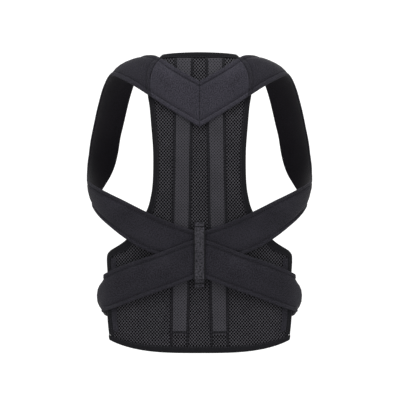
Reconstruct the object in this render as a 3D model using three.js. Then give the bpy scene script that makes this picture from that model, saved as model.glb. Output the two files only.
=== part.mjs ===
import * as THREE from 'three';

// A posture corrector in the form that it takes when worn, in millimetres, +Z up.
// The wearer's back faces -Y and the wearer's left is -X. The origin lies on the shoulder line,
// midway between the shoulders. The pieces lie in layers on one smooth body form, which itself
// isn't part of the object: each layer's place is its lift, its distance out from that form.

// Driving dimensions
const BACK_LENGTH = 434;
const BODY_WIDTH = 300;
const BODY_DEPTH = 200;
const PANEL_RISE = 1;
const PANEL_WIDTH = 276;
const PANEL_THICK = 3;
const PANEL_TOP_DROP = 4;
const PANEL_BOTTOM_RISE = 17;
const BINDING_WIDTH = 7;
const BINDING_THICK = 1;
const SIDE_TAB_WIDTH = 9;
const SIDE_TAB_THICK = 0.8;
const POCKET_WIDTH = 27;
const POCKET_THICK = 1.5;
const POCKET_TOP_CENTRE = 22;
const POCKET_BOTTOM_CENTRE = 29.5;
const POCKET_FOOT = 19;
const YOKE_WIDTH = 58;
const STRAP_WIDTH = 52;
const UNDERARM_PINCH = 14;
const WAIST_STRAP_WIDTH = 54;
const STRAP_THICK = 2.6;
const SEAM_SLANT = 10;
const SEAM_BOW = 9.3;
const WAIST_CROWN = 10;
const WAIST_TUCK = 2;
const WAIST_OVERLAP = 45;
const END_ROUND = 10;
const LOOP_WIDTH = 17;
const LOOP_THICK = 1.6;
const LOOP_REACH = 8;
const LOOP_TAB = 6;
const HOOK_LENGTH = 60;
const HOOK_WIDTH = 42;
const HOOK_THICK = 1.2;

// Clearances: the seam between two pieces side by side, a layer laid flat on the next,
// and a strap that passes over the layers below it
const SEAM_GAP = 0.3;
const LAYER_GAP = 0.4;
const STRAP_GAP = 0.9;

// Lifts of the layers at the back, from the body outwards
const BINDING_LIFT = 0.3;
const PANEL_LIFT = BINDING_LIFT + BINDING_THICK + SEAM_GAP;
const POCKET_LIFT = PANEL_LIFT + PANEL_THICK + LAYER_GAP;
const BINDING_TOP = PANEL_LIFT + PANEL_THICK + SEAM_GAP + BINDING_THICK;
const STRAP_LIFT = Math.max(POCKET_LIFT + POCKET_THICK, BINDING_TOP) + STRAP_GAP;
const WAIST_LIFT = STRAP_LIFT + STRAP_THICK + STRAP_GAP;
const LOOP_LIFT = WAIST_LIFT + STRAP_THICK + STRAP_GAP;
const SIDE_LIFT = 1;

// Horizontal sections of the body form, from the neck down. level: distance below the origin, as
// a share of BACK_LENGTH. wide: half width, as a share of BODY_WIDTH / 2. back, front: depths, as
// shares of BODY_DEPTH. backSquare, frontSquare: exponents, 2 for an ellipse and more when squarer.
const FORM = [
  { level: -0.055, wide: 0.300, back: 0.230, front: 0.100, backSquare: 2.2, frontSquare: 2.4 },
  { level: 0.007, wide: 0.405, back: 0.270, front: 0.165, backSquare: 2.2, frontSquare: 2.4 },
  { level: 0.028, wide: 0.580, back: 0.288, front: 0.205, backSquare: 2.2, frontSquare: 2.6 },
  { level: 0.046, wide: 0.705, back: 0.303, front: 0.240, backSquare: 2.3, frontSquare: 2.8 },
  { level: 0.073, wide: 0.812, back: 0.320, front: 0.285, backSquare: 2.3, frontSquare: 3.1 },
  { level: 0.106, wide: 0.882, back: 0.335, front: 0.335, backSquare: 2.4, frontSquare: 3.6 },
  { level: 0.147, wide: 0.925, back: 0.350, front: 0.380, backSquare: 2.4, frontSquare: 4.2 },
  { level: 0.220, wide: 0.978, back: 0.380, front: 0.440, backSquare: 2.5, frontSquare: 5.0 },
  { level: 0.335, wide: 1.044, back: 0.410, front: 0.520, backSquare: 2.6, frontSquare: 5.0 },
  { level: 0.420, wide: 1.035, back: 0.415, front: 0.540, backSquare: 2.7, frontSquare: 4.0 },
  { level: 0.490, wide: 0.992, back: 0.405, front: 0.538, backSquare: 2.8, frontSquare: 3.6 },
  { level: 0.573, wide: 0.955, back: 0.380, front: 0.530, backSquare: 2.9, frontSquare: 3.2 },
  { level: 0.688, wide: 0.925, back: 0.345, front: 0.510, backSquare: 3.2, frontSquare: 2.8 },
  { level: 0.814, wide: 0.912, back: 0.330, front: 0.495, backSquare: 3.4, frontSquare: 2.6 },
  { level: 0.917, wide: 0.938, back: 0.350, front: 0.500, backSquare: 3.4, frontSquare: 2.6 },
  { level: 1.010, wide: 0.975, back: 0.390, front: 0.520, backSquare: 3.4, frontSquare: 2.6 },
];

// The back panel's side edge. down: share of the edge's length from the top corner. half: flat
// distance from the centre line, as a share of PANEL_WIDTH / 2.
const PANEL_EDGE = [
  { down: 0.000, half: 0.400 },
  { down: 0.030, half: 0.455 },
  { down: 0.070, half: 0.498 },
  { down: 0.120, half: 0.535 },
  { down: 0.183, half: 0.512 },
  { down: 0.254, half: 0.493 },
  { down: 0.324, half: 0.477 },
  { down: 0.380, half: 0.474 },
  { down: 0.442, half: 0.479 },
  { down: 0.488, half: 0.496 },
  { down: 0.541, half: 0.540 },
  { down: 0.595, half: 0.640 },
  { down: 0.645, half: 0.755 },
  { down: 0.668, half: 0.845 },
  { down: 0.688, half: 0.955 },
  { down: 0.703, half: 0.995 },
  { down: 0.766, half: 0.988 },
  { down: 0.839, half: 0.990 },
  { down: 0.912, half: 0.985 },
  { down: 0.961, half: 0.965 },
  { down: 1.000, half: 0.945 },
];

// Centre lines of the left straps on the body form. turn: degrees round it, 270 at the back's
// centre, 180 at the wearer's left side and 90 at the front. level: as in FORM.
const SHOULDER_ROUTE = [
  { turn: 278.7, level: 0.213 },
  { turn: 270.0, level: 0.170 },
  { turn: 257.9, level: 0.120 },
  { turn: 237.5, level: 0.071 },
  { turn: 213.0, level: 0.047 },
  { turn: 178.0, level: 0.047 },
  { turn: 150.0, level: 0.082 },
  { turn: 144.0, level: 0.165 },
  { turn: 143.5, level: 0.265 },
  { turn: 145.5, level: 0.352 },
  { turn: 166.0, level: 0.430 },
  { turn: 194.0, level: 0.474 },
  { turn: 220.0, level: 0.523 },
  { turn: 250.2, level: 0.598 },
  { turn: 270.0, level: 0.656 },
  { turn: 276.5, level: 0.684 },
];
const WAIST_ROUTE = [
  { turn: 275.0, level: 0.655 },
  { turn: 270.0, level: 0.675 },
  { turn: 257.0, level: 0.725 },
  { turn: 235.3, level: 0.763 },
  { turn: 207.0, level: 0.797 },
  { turn: 180.0, level: 0.814 },
  { turn: 150.0, level: 0.828 },
  { turn: 120.0, level: 0.845 },
  { turn: 90.0, level: 0.855 },
  { turn: 66.0, level: 0.855 },
];

// Colours of the finishes
const CLOTH = new THREE.MeshStandardMaterial({ color: 0x1c1c22, roughness: 0.85, metalness: 0 });
const MESH_CLOTH = new THREE.MeshStandardMaterial({ color: 0x131318, roughness: 0.9, metalness: 0 });
const FINE_MESH = new THREE.MeshStandardMaterial({ color: 0x222228, roughness: 0.9, metalness: 0 });
const TAPE = new THREE.MeshStandardMaterial({ color: 0x17171b, roughness: 0.8, metalness: 0 });
const WEBBING = new THREE.MeshStandardMaterial({ color: 0x1d1d21, roughness: 0.7, metalness: 0 });
const HOOK_TAPE = new THREE.MeshStandardMaterial({ color: 0x101012, roughness: 0.6, metalness: 0 });

// The value of a table's column at a place between its rows, on a smooth curve through them
function follow(rows, key, column, at) {
  let i = 0;
  while (i < rows.length - 2 && at > rows[i + 1][key]) i += 1;
  const slope = (j) => {
    const before = rows[Math.max(j - 1, 0)];
    const after = rows[Math.min(j + 1, rows.length - 1)];
    return (after[column] - before[column]) / (after[key] - before[key]);
  };
  const from = rows[i];
  const to = rows[i + 1];
  const span = to[key] - from[key];
  const t = (at - from[key]) / span;
  if (t <= 0) return from[column] + slope(i) * (at - from[key]);
  if (t >= 1) return to[column] + slope(i + 1) * (at - to[key]);
  const ease = t * t * (3 - 2 * t);
  const leave = t * (1 - t) * (1 - t) * span * slope(i);
  const arrive = t * t * (t - 1) * span * slope(i + 1);
  return from[column] + (to[column] - from[column]) * ease + leave + arrive;
}

// 0 before the first value, 1 after the second, and a smooth step between
function ramp(from, to, at) {
  return THREE.MathUtils.smoothstep(at, from, to);
}

function formSection(z) {
  const level = -z / BACK_LENGTH;
  const column = (name) => follow(FORM, 'level', name, level);
  return {
    wide: column('wide') * BODY_WIDTH / 2,
    back: column('back') * BODY_DEPTH,
    front: column('front') * BODY_DEPTH,
    backSquare: column('backSquare'),
    frontSquare: column('frontSquare'),
  };
}

// Less than 0 inside the form, 0 on it and more outside
function formDistance(x, y, z) {
  const section = formSection(z);
  const square = y > 0 ? section.frontSquare : section.backSquare;
  const deep = y > 0 ? section.front : section.back;
  const sum = Math.abs(x / section.wide) ** square + Math.abs(y / deep) ** square;
  return sum ** (1 / square) - 1;
}

function formNormal(p) {
  const h = 0.5;
  return new THREE.Vector3(
    formDistance(p.x + h, p.y, p.z) - formDistance(p.x - h, p.y, p.z),
    formDistance(p.x, p.y + h, p.z) - formDistance(p.x, p.y - h, p.z),
    formDistance(p.x, p.y, p.z + h) - formDistance(p.x, p.y, p.z - h),
  ).normalize();
}

// The form's point at a turn and a height
function formPoint(turn, z) {
  const section = formSection(z);
  const angle = THREE.MathUtils.degToRad(turn);
  const cos = Math.cos(angle);
  const sin = Math.sin(angle);
  const square = sin > 0 ? section.frontSquare : section.backSquare;
  const deep = sin > 0 ? section.front : section.back;
  const x = section.wide * Math.sign(cos) * Math.abs(cos) ** (2 / square);
  const y = deep * Math.sign(sin) * Math.abs(sin) ** (2 / square);
  return new THREE.Vector3(x, y, z);
}

// The form's point at a height, a flat distance from the back's centre line: less than 0 is left
const WALK_STEPS = 240;
function backPoint(flat, z) {
  const section = formSection(z);
  const side = Math.sign(flat) || 1;
  let walked = 0;
  let last = new THREE.Vector3(0, -section.back, z);
  for (let i = 1; i <= WALK_STEPS; i += 1) {
    const angle = i / WALK_STEPS * Math.PI / 2;
    const x = section.wide * Math.sin(angle) ** (2 / section.backSquare);
    const y = -section.back * Math.abs(Math.cos(angle)) ** (2 / section.backSquare);
    const next = new THREE.Vector3(side * x, y, z);
    const step = next.distanceTo(last);
    if (walked + step >= Math.abs(flat)) {
      return last.lerp(next, (Math.abs(flat) - walked) / step);
    }
    walked += step;
    last = next;
  }
  return last.setY(last.y + Math.abs(flat) - walked);
}

// The point where a line along a direction meets the form
const DROP_REACH = 60;
function dropOnForm(point, direction) {
  let inside = -DROP_REACH;
  let outside = DROP_REACH;
  const at = new THREE.Vector3();
  for (let i = 0; i < 26; i += 1) {
    const middle = (inside + outside) / 2;
    at.copy(point).addScaledVector(direction, middle);
    if (formDistance(at.x, at.y, at.z) > 0) outside = middle;
    else inside = middle;
  }
  return at;
}

function lifted(point, lift) {
  return point.clone().addScaledVector(formNormal(point), lift);
}

// Mesh data: a solid from its points and triangles, with its faces turned outwards
function solid(name, material, points, triangles) {
  let volume = 0;
  for (const [a, b, c] of triangles) {
    volume += points[a].dot(new THREE.Vector3().crossVectors(points[b], points[c]));
  }
  const index = triangles.flatMap(([a, b, c]) => (volume > 0 ? [a, b, c] : [a, c, b]));
  const geometry = new THREE.BufferGeometry();
  const position = points.flatMap((p) => [p.x, p.y, p.z]);
  geometry.setAttribute('position', new THREE.Float32BufferAttribute(position, 3));
  geometry.setIndex(index);
  geometry.computeVertexNormals();
  const mesh = new THREE.Mesh(geometry, material);
  mesh.name = name;
  return mesh;
}

// A sheet with a thickness: two grids of points, the inner and the outer face, and their rim
function sheet(name, material, inner, outer) {
  const rows = inner.length;
  const columns = inner[0].length;
  const points = [...inner.flat(), ...outer.flat()];
  const under = (i, j) => i * columns + j;
  const over = (i, j) => rows * columns + i * columns + j;
  const triangles = [];
  const quad = (a, b, c, d) => triangles.push([a, b, c], [a, c, d]);
  for (let i = 0; i < rows - 1; i += 1) {
    for (let j = 0; j < columns - 1; j += 1) {
      quad(over(i, j), over(i + 1, j), over(i + 1, j + 1), over(i, j + 1));
      quad(under(i, j), under(i, j + 1), under(i + 1, j + 1), under(i + 1, j));
    }
    quad(under(i, 0), under(i + 1, 0), over(i + 1, 0), over(i, 0));
    const last = columns - 1;
    quad(over(i, last), over(i + 1, last), under(i + 1, last), under(i, last));
  }
  for (let j = 0; j < columns - 1; j += 1) {
    quad(over(0, j), over(0, j + 1), under(0, j + 1), under(0, j));
    const last = rows - 1;
    quad(under(last, j), under(last, j + 1), over(last, j + 1), over(last, j));
  }
  return solid(name, material, points, triangles);
}

// A strip with a U-shaped section: eight points a ring, from one leg's tip round to the other's
// lean: which diagonal its legs' faces are split on, so that they lie flat on the sheet within
function channel(name, material, rings, lean) {
  const points = rings.flat();
  const triangles = [];
  const quad = (a, b, c, d) => triangles.push([a, b, c], [a, c, d]);
  for (let i = 0; i < rings.length - 1; i += 1) {
    for (let k = 0; k < 8; k += 1) {
      const next = (k + 1) % 8;
      const corners = [i * 8 + k, i * 8 + next, i * 8 + 8 + next, i * 8 + 8 + k];
      if (k === (lean > 0 ? 4 : 6)) corners.push(corners.shift());
      quad(...corners);
    }
  }
  const end = (rings.length - 1) * 8;
  for (const [a, b, c, d] of [[0, 1, 6, 7], [1, 2, 5, 6], [2, 3, 4, 5]]) {
    quad(d, c, b, a);
    quad(end + a, end + b, end + c, end + d);
  }
  return solid(name, material, points, triangles);
}

// The back panel: a cloth grid, across from -1 at its left edge to 1 at its right edge, and down
// from 0 at its top edge to 1 at its bottom edge
function panelHeight(across, down) {
  const top = PANEL_RISE - PANEL_TOP_DROP * across * across;
  const bottom = PANEL_RISE - BACK_LENGTH + PANEL_BOTTOM_RISE * Math.abs(across) ** 3.2;
  return top + (bottom - top) * down;
}
function panelHalf(down) {
  return follow(PANEL_EDGE, 'down', 'half', down) * PANEL_WIDTH / 2;
}
function panelPoint(flat, down) {
  return backPoint(flat, panelHeight(flat / panelHalf(down), down));
}
const SIDE_LENGTH = panelHeight(1, 0) - panelHeight(1, 1);

// How far in the binding reaches at a side edge, measured along the row
function bindingReach(down) {
  const step = 0.01;
  const slope = (panelHalf(down + step) - panelHalf(down - step)) / (2 * step * SIDE_LENGTH);
  return BINDING_WIDTH * Math.sqrt(1 + slope * slope);
}
const BINDING_DOWN = (BINDING_WIDTH + SEAM_GAP * 2) / SIDE_LENGTH;

// Rows of the cloth grid: the edge table's rows, with one between where they lie far apart
const LONG_STEP = 0.038;
const PANEL_ROWS = [0, BINDING_DOWN];
for (const row of PANEL_EDGE) {
  const last = PANEL_ROWS.at(-1);
  if (row.down <= last || row.down > 1 - BINDING_DOWN) continue;
  if (row.down - last > LONG_STEP) PANEL_ROWS.push((row.down + last) / 2);
  PANEL_ROWS.push(row.down);
}
PANEL_ROWS.push(1 - BINDING_DOWN, 1);

// Columns of a row: the edge, the binding's reach, and even steps to the centre line
const FIELD_COLUMNS = 5;
function panelColumns(down) {
  const half = panelHalf(down);
  const field = half - bindingReach(down) - SEAM_GAP;
  const right = [];
  for (let k = 1; k <= FIELD_COLUMNS; k += 1) right.push(field * k / FIELD_COLUMNS);
  right.push(half);
  return [...right.map((flat) => -flat).reverse(), 0, ...right];
}

function backPanel() {
  const face = (lift) => PANEL_ROWS.map((down) => (
    panelColumns(down).map((flat) => lifted(panelPoint(flat, down), lift))));
  return sheet('back_panel', MESH_CLOTH, face(PANEL_LIFT), face(PANEL_LIFT + PANEL_THICK));
}

// One ring of binding: tip, slot and web are the form's points below the leg's tip, the panel's
// edge with its clearance, and the binding's own outside
function bindingRing(tip, slot, web) {
  const low = BINDING_LIFT;
  const high = BINDING_TOP;
  return [
    lifted(tip, low), lifted(web, low), lifted(web, high), lifted(tip, high),
    lifted(tip, high - BINDING_THICK), lifted(slot, high - BINDING_THICK),
    lifted(slot, low + BINDING_THICK), lifted(tip, low + BINDING_THICK),
  ];
}

function sideBinding(name, side) {
  const rings = PANEL_ROWS.slice(1, -1).map((down) => {
    const half = panelHalf(down);
    const stretch = bindingReach(down) / BINDING_WIDTH;
    const at = (inward) => panelPoint(side * (half - inward * stretch), down);
    return bindingRing(at(BINDING_WIDTH), at(-SEAM_GAP), at(-SEAM_GAP - BINDING_THICK));
  });
  return channel(name, TAPE, rings, -side);
}

function endBinding(name, edge, inwards) {
  const outside = SEAM_GAP + BINDING_THICK;
  const flats = panelColumns(edge);
  const last = flats.length - 1;
  const rings = flats.map((flat, k) => {
    const beyond = k === 0 ? -outside : k === last ? outside : 0;
    const at = (inward) => panelPoint(flat + beyond, edge + inwards * inward / SIDE_LENGTH);
    const tip = edge + inwards * (BINDING_DOWN - SEAM_GAP / SIDE_LENGTH);
    const tipPoint = panelPoint(panelColumns(tip)[k] + beyond, tip);
    return bindingRing(tipPoint, at(-SEAM_GAP), at(-outside));
  });
  return channel(name, TAPE, rings, inwards);
}

// Smooth strip beside the binding, down the flare's side edge
const SIDE_TAB_TOP = 0.703;
const SIDE_TAB_BOTTOM = 0.961;
function sideTab(name, side) {
  const rows = PANEL_ROWS.filter((down) => down >= SIDE_TAB_TOP && down <= SIDE_TAB_BOTTOM);
  const face = (lift) => rows.map((down) => {
    const outer = panelHalf(down) - bindingReach(down) - LAYER_GAP;
    return [outer - SIDE_TAB_WIDTH, outer].map((flat) => lifted(panelPoint(side * flat, down), lift));
  });
  return sheet(name, CLOTH, face(POCKET_LIFT), face(POCKET_LIFT + SIDE_TAB_THICK));
}

// Stay pockets: long raised strips each side of the centre line
const POCKET_COLUMNS = [-0.5, -0.38, 0, 0.38, 0.5];
function stayPocket(name, side) {
  const foot = 1 - (BINDING_WIDTH + POCKET_FOOT) / BACK_LENGTH;
  const rows = PANEL_ROWS.filter((down) => down >= BINDING_DOWN && down < foot);
  rows.push(foot);
  const face = (lift, rim) => rows.map((down) => {
    const centre = POCKET_TOP_CENTRE + (POCKET_BOTTOM_CENTRE - POCKET_TOP_CENTRE) * down;
    return POCKET_COLUMNS.map((across) => {
      const drop = Math.abs(across) === 0.5 ? rim : 0;
      return lifted(panelPoint(side * (centre + across * POCKET_WIDTH), down), lift - drop);
    });
  });
  return sheet(name, FINE_MESH, face(POCKET_LIFT, 0),
    face(POCKET_LIFT + POCKET_THICK, POCKET_THICK / 2));
}

// A ribbon follows a route over the form. at(along, across) is the form's point a distance along
// the centre line and a share across, from -1 at one edge to 1 at the other.
function ribbon(route, widthAt) {
  const places = route.map((row) => formPoint(row.turn, -row.level * BACK_LENGTH));
  const curve = new THREE.CatmullRomCurve3(places, false, 'centripetal');
  curve.arcLengthDivisions = 800;
  const length = curve.getLength();
  const count = Math.round(length / 3);
  const stations = [];
  for (let i = 0; i <= count; i += 1) {
    const centre = curve.getPointAt(i / count);
    const normal = formNormal(dropOnForm(centre, formNormal(centre)));
    const along = curve.getTangentAt(i / count);
    stations.push({ centre, normal, side: along.cross(normal).normalize() });
  }
  const at = (along, across) => {
    const place = THREE.MathUtils.clamp(along / length, 0, 1) * count;
    const i = Math.min(Math.floor(place), count - 1);
    const part = place - i;
    const blend = (name) => stations[i][name].clone().lerp(stations[i + 1][name], part);
    const reach = across * widthAt(along) / 2;
    const point = blend('centre').addScaledVector(blend('side'), reach);
    return dropOnForm(point, blend('normal').normalize());
  };
  return { length, at };
}

// The distance along a ribbon, at a share across, where it meets the centre plane plus a gap.
// It lies between a place on the far side of that plane and one on the near side.
function meetsCentre(strap, across, far, near) {
  let beyond = far;
  let before = near;
  for (let i = 0; i < 24; i += 1) {
    const middle = (beyond + before) / 2;
    if (strap.at(middle, across).x > -SEAM_GAP / 2) beyond = middle;
    else before = middle;
  }
  return before;
}

// A stretch of ribbon as a solid. from, to: distances along for a share across. lift: its inner
// face's lift at a distance along and a share across. side: 1 mirrors it to the wearer's right.
const STRAP_COLUMNS = [
  { across: -1, thick: 0.6 },
  { across: -0.86, thick: 1 },
  { across: -0.5, thick: 1 },
  { across: 0, thick: 1 },
  { across: 0.5, thick: 1 },
  { across: 0.86, thick: 1 },
  { across: 1, thick: 0.6 },
];
function strip(name, material, strap, { from, to, lift, rows, thick, side, columns = STRAP_COLUMNS }) {
  const inner = [];
  const outer = [];
  for (let i = 0; i <= rows; i += 1) {
    const under = [];
    const over = [];
    for (const column of columns) {
      const start = from(column.across);
      const along = start + (to(column.across) - start) * i / rows;
      const base = strap.at(along, column.across);
      const low = lift(along, column.across);
      const mirror = new THREE.Vector3(-side, 1, 1);
      under.push(lifted(base, low).multiply(mirror));
      over.push(lifted(base, low + thick * column.thick).multiply(mirror));
    }
    inner.push(under);
    outer.push(over);
  }
  return sheet(name, material, inner, outer);
}

// Yoke and shoulder strap are cut from one ribbon, at the curved seam beside the shoulder
const YOKE_NARROWS_FROM = 50;
const YOKE_NARROWS_TO = 130;
const UNDERARM_FROM = 370;
const UNDERARM_TO = 610;
const shoulder = ribbon(SHOULDER_ROUTE, (along) => {
  const narrowed = ramp(YOKE_NARROWS_FROM, YOKE_NARROWS_TO, along);
  const middle = (UNDERARM_FROM + UNDERARM_TO) / 2;
  const pinched = ramp(UNDERARM_FROM, middle, along) - ramp(middle, UNDERARM_TO, along);
  return YOKE_WIDTH + (STRAP_WIDTH - YOKE_WIDTH) * narrowed - UNDERARM_PINCH * pinched;
});
const YOKE_START = 90;
const yokeStart = (across) => meetsCentre(shoulder, across, 0, YOKE_START);
const SEAM_PLACE = 0.545;
const seamCentre = yokeStart(0) + SEAM_PLACE * BODY_WIDTH / 2;
const seamAt = (across) => seamCentre + SEAM_SLANT * across - SEAM_BOW * across * across;
const strapEnd = (across) => meetsCentre(shoulder, across, shoulder.length, shoulder.length - YOKE_START);

function yoke(name, side) {
  return strip(name, CLOTH, shoulder, {
    from: yokeStart,
    to: (across) => seamAt(across) - SEAM_GAP / 2,
    lift: () => STRAP_LIFT,
    rows: 9,
    thick: STRAP_THICK,
    side,
  });
}
function shoulderStrap(name, side) {
  return strip(name, CLOTH, shoulder, {
    from: (across) => seamAt(across) + SEAM_GAP / 2,
    to: strapEnd,
    lift: () => STRAP_LIFT,
    rows: 52,
    thick: STRAP_THICK,
    side,
  });
}

// Waist straps: over the shoulder straps' ends at the back, then down onto the body and round to
// the front, where the left end laps over the right end
const waist = ribbon(WAIST_ROUTE, () => WAIST_STRAP_WIDTH);
const WAIST_START = 60;
const waistStart = (across) => meetsCentre(waist, across, 0, WAIST_START);
const waistZero = waistStart(0);
const frontCentre = (() => {
  let before = waist.length / 2;
  let beyond = waist.length;
  for (let i = 0; i < 24; i += 1) {
    const middle = (before + beyond) / 2;
    if (waist.at(middle, 0).x < 0) before = middle;
    else beyond = middle;
  }
  return before;
})();
const waistEnd = (across) => (
  frontCentre + WAIST_OVERLAP - END_ROUND * (1 - Math.sqrt(Math.max(1 - across ** 4, 0))));
const WAIST_AT_EDGE = 0.8;
const flareEdge = panelPoint(-panelHalf(WAIST_AT_EDGE), WAIST_AT_EDGE);
const PANEL_EDGE_WIDE = 2;
const edgePlaces = new Map();
function panelEdgeAt(across) {
  if (!edgePlaces.has(across)) {
    let before = waistZero;
    let beyond = waist.length / 2;
    for (let i = 0; i < 24; i += 1) {
      const middle = (before + beyond) / 2;
      if (waist.at(middle, across).y < flareEdge.y) before = middle;
      else beyond = middle;
    }
    edgePlaces.set(across, beyond + PANEL_EDGE_WIDE);
  }
  return edgePlaces.get(across);
}
// Where its lift changes: shares of its width from the centre, lengths past the panel's edge, and
// lengths before the under strap's end
const CROSSING_ENDS = 1.45;
const CROSSING_CLEARED = 2.3;
const TUCK_LENGTH = 20;
const FRONT_FROM = 60;
const FRONT_TO = 140;
const LAP_FROM = 60;
const LAP_TO = 12;
function waistLift(lap) {
  return (along, across) => {
    const crossed = (along - waistZero) / WAIST_STRAP_WIDTH;
    const offCrossing = ramp(CROSSING_ENDS, CROSSING_CLEARED, crossed);
    const back = WAIST_LIFT + (STRAP_LIFT - WAIST_LIFT) * offCrossing;
    const edge = panelEdgeAt(across);
    const pastPanel = ramp(edge, edge + TUCK_LENGTH, along);
    const atFront = ramp(edge + FRONT_FROM, edge + FRONT_TO, along);
    const sideLift = WAIST_CROWN - (WAIST_CROWN + WAIST_TUCK) * across * across;
    const side = back + (sideLift - back) * pastPanel;
    const lapLift = lap * (STRAP_THICK + HOOK_THICK + 2 * STRAP_GAP);
    const underEnd = frontCentre - WAIST_OVERLAP;
    const front = SIDE_LIFT + lapLift * ramp(underEnd - LAP_FROM, underEnd - LAP_TO, along);
    return side + (front - side) * atFront;
  };
}
function waistStrap(name, side, lap) {
  return strip(name, CLOTH, waist, {
    from: waistStart,
    to: waistEnd,
    lift: waistLift(lap),
    rows: 46,
    thick: STRAP_THICK,
    side,
  });
}

// Hook patch between the lapped ends, on the inner face of the left one
function hookPatch() {
  const columns = [-1, 0, 1].map((share) => (
    { across: share * HOOK_WIDTH / WAIST_STRAP_WIDTH, thick: 1 }));
  return strip('front_hook_patch', HOOK_TAPE, waist, {
    from: () => frontCentre - HOOK_LENGTH / 2,
    to: () => frontCentre + HOOK_LENGTH / 2,
    lift: () => SIDE_LIFT + STRAP_THICK + STRAP_GAP,
    rows: 8,
    thick: HOOK_THICK,
    side: -1,
    columns,
  });
}

// Keeper loop: webbing sewn to the panel above and below the straps' crossing
function centreLoop() {
  const crossingTop = shoulder.at(strapEnd(-1), -1).z;
  const crossingBottom = waist.at(waistStart(-1) + LOOP_WIDTH / 2, -1).z;
  const top = crossingTop + LOOP_REACH + LOOP_TAB;
  const bottom = crossingBottom - LOOP_REACH - LOOP_TAB;
  const sewn = POCKET_LIFT;
  const places = [
    { z: top, lift: sewn },
    { z: top - LOOP_TAB, lift: sewn },
    { z: top - LOOP_TAB - LOOP_REACH * 0.5, lift: (sewn + LOOP_LIFT) / 2 + 1 },
    { z: crossingTop - 1, lift: LOOP_LIFT },
    { z: (crossingTop * 3 + crossingBottom) / 4, lift: LOOP_LIFT },
    { z: (crossingTop + crossingBottom) / 2, lift: LOOP_LIFT },
    { z: (crossingTop + crossingBottom * 3) / 4, lift: LOOP_LIFT },
    { z: crossingBottom - 1, lift: LOOP_LIFT },
    { z: bottom + LOOP_TAB + LOOP_REACH * 0.5, lift: (sewn + LOOP_LIFT) / 2 + 1 },
    { z: bottom + LOOP_TAB, lift: sewn },
    { z: bottom, lift: sewn },
  ];
  const face = (extra) => places.map((place) => (
    [-1, 0, 1].map((across) => lifted(backPoint(across * LOOP_WIDTH / 2, place.z), place.lift + extra))));
  return sheet('centre_loop', WEBBING, face(0), face(LOOP_THICK));
}

const LEFT = -1;
const RIGHT = 1;
const corrector = new THREE.Group();
corrector.add(
  backPanel(),
  endBinding('top_binding', 0, 1),
  endBinding('bottom_binding', 1, -1),
  sideBinding('left_side_binding', LEFT),
  sideBinding('right_side_binding', RIGHT),
  sideTab('left_side_tab', LEFT),
  sideTab('right_side_tab', RIGHT),
  stayPocket('left_stay_pocket', LEFT),
  stayPocket('right_stay_pocket', RIGHT),
  yoke('left_yoke', LEFT),
  yoke('right_yoke', RIGHT),
  shoulderStrap('left_shoulder_strap', LEFT),
  shoulderStrap('right_shoulder_strap', RIGHT),
  waistStrap('left_waist_strap', LEFT, 1),
  waistStrap('right_waist_strap', RIGHT, 0),
  hookPatch(),
  centreLoop(),
);

export default corrector;
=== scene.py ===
"""A posture corrector in its worn form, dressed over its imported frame. Metres, +Z up.

The wearer's back faces -Y and the wearer's left is -X. The origin lies on the shoulder line.
"""
import math

import bmesh
import bpy
import numpy as np
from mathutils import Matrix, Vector


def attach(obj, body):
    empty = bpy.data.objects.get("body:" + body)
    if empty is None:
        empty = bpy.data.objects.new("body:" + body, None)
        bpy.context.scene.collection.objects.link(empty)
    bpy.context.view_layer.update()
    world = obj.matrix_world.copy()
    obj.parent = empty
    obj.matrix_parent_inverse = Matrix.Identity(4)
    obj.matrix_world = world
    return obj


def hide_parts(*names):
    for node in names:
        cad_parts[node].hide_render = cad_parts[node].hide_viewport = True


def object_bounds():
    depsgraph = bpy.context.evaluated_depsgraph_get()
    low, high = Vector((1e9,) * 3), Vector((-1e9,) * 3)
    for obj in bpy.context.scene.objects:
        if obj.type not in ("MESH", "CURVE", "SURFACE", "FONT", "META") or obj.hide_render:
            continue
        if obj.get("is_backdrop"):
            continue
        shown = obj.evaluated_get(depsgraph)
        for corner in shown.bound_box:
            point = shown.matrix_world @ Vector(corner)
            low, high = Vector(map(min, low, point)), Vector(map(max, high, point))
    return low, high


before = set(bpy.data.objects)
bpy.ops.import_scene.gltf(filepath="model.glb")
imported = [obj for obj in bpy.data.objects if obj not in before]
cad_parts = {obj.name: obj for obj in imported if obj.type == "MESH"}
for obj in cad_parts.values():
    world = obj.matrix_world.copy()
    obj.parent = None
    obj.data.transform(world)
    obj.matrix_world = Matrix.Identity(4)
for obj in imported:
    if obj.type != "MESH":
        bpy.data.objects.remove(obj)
cad_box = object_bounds()

# The studio: a pale floor that curves up into a pale round wall, both lit evenly, broad soft lights,
# and a level camera with a long lens straight behind the wearer. None of it is part of the object.
VIEW_WIDE = 0.580
VIEW_CENTRE = (0.0007, -0.2117)
BACK_FACE = -0.085
CAMERA_AWAY = 6.0
SENSOR_WIDE = 36.0
FLOOR_HEIGHT = -0.56
WALL_AWAY = 8.0
WALL_BEND = 1.5
WALL_HEIGHT = 5.0
WALL_SIDES = 72
PAPER = (0.30, 0.30, 0.30, 1)
PAPER_LIT = (0.95, 0.95, 0.95, 1)
PAPER_GLOW = 1.0

camera = bpy.data.objects.new("camera", bpy.data.cameras.new("camera"))
camera.data.sensor_width = SENSOR_WIDE
camera.data.lens = SENSOR_WIDE * CAMERA_AWAY / VIEW_WIDE
camera.location = (VIEW_CENTRE[0], BACK_FACE - CAMERA_AWAY, VIEW_CENTRE[1])
camera.rotation_euler = (math.pi / 2, 0, 0)
camera.data.clip_end = 40
bpy.context.scene.collection.objects.link(camera)
bpy.context.scene.camera = camera
bpy.context.scene.view_settings.view_transform = "Standard"


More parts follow.
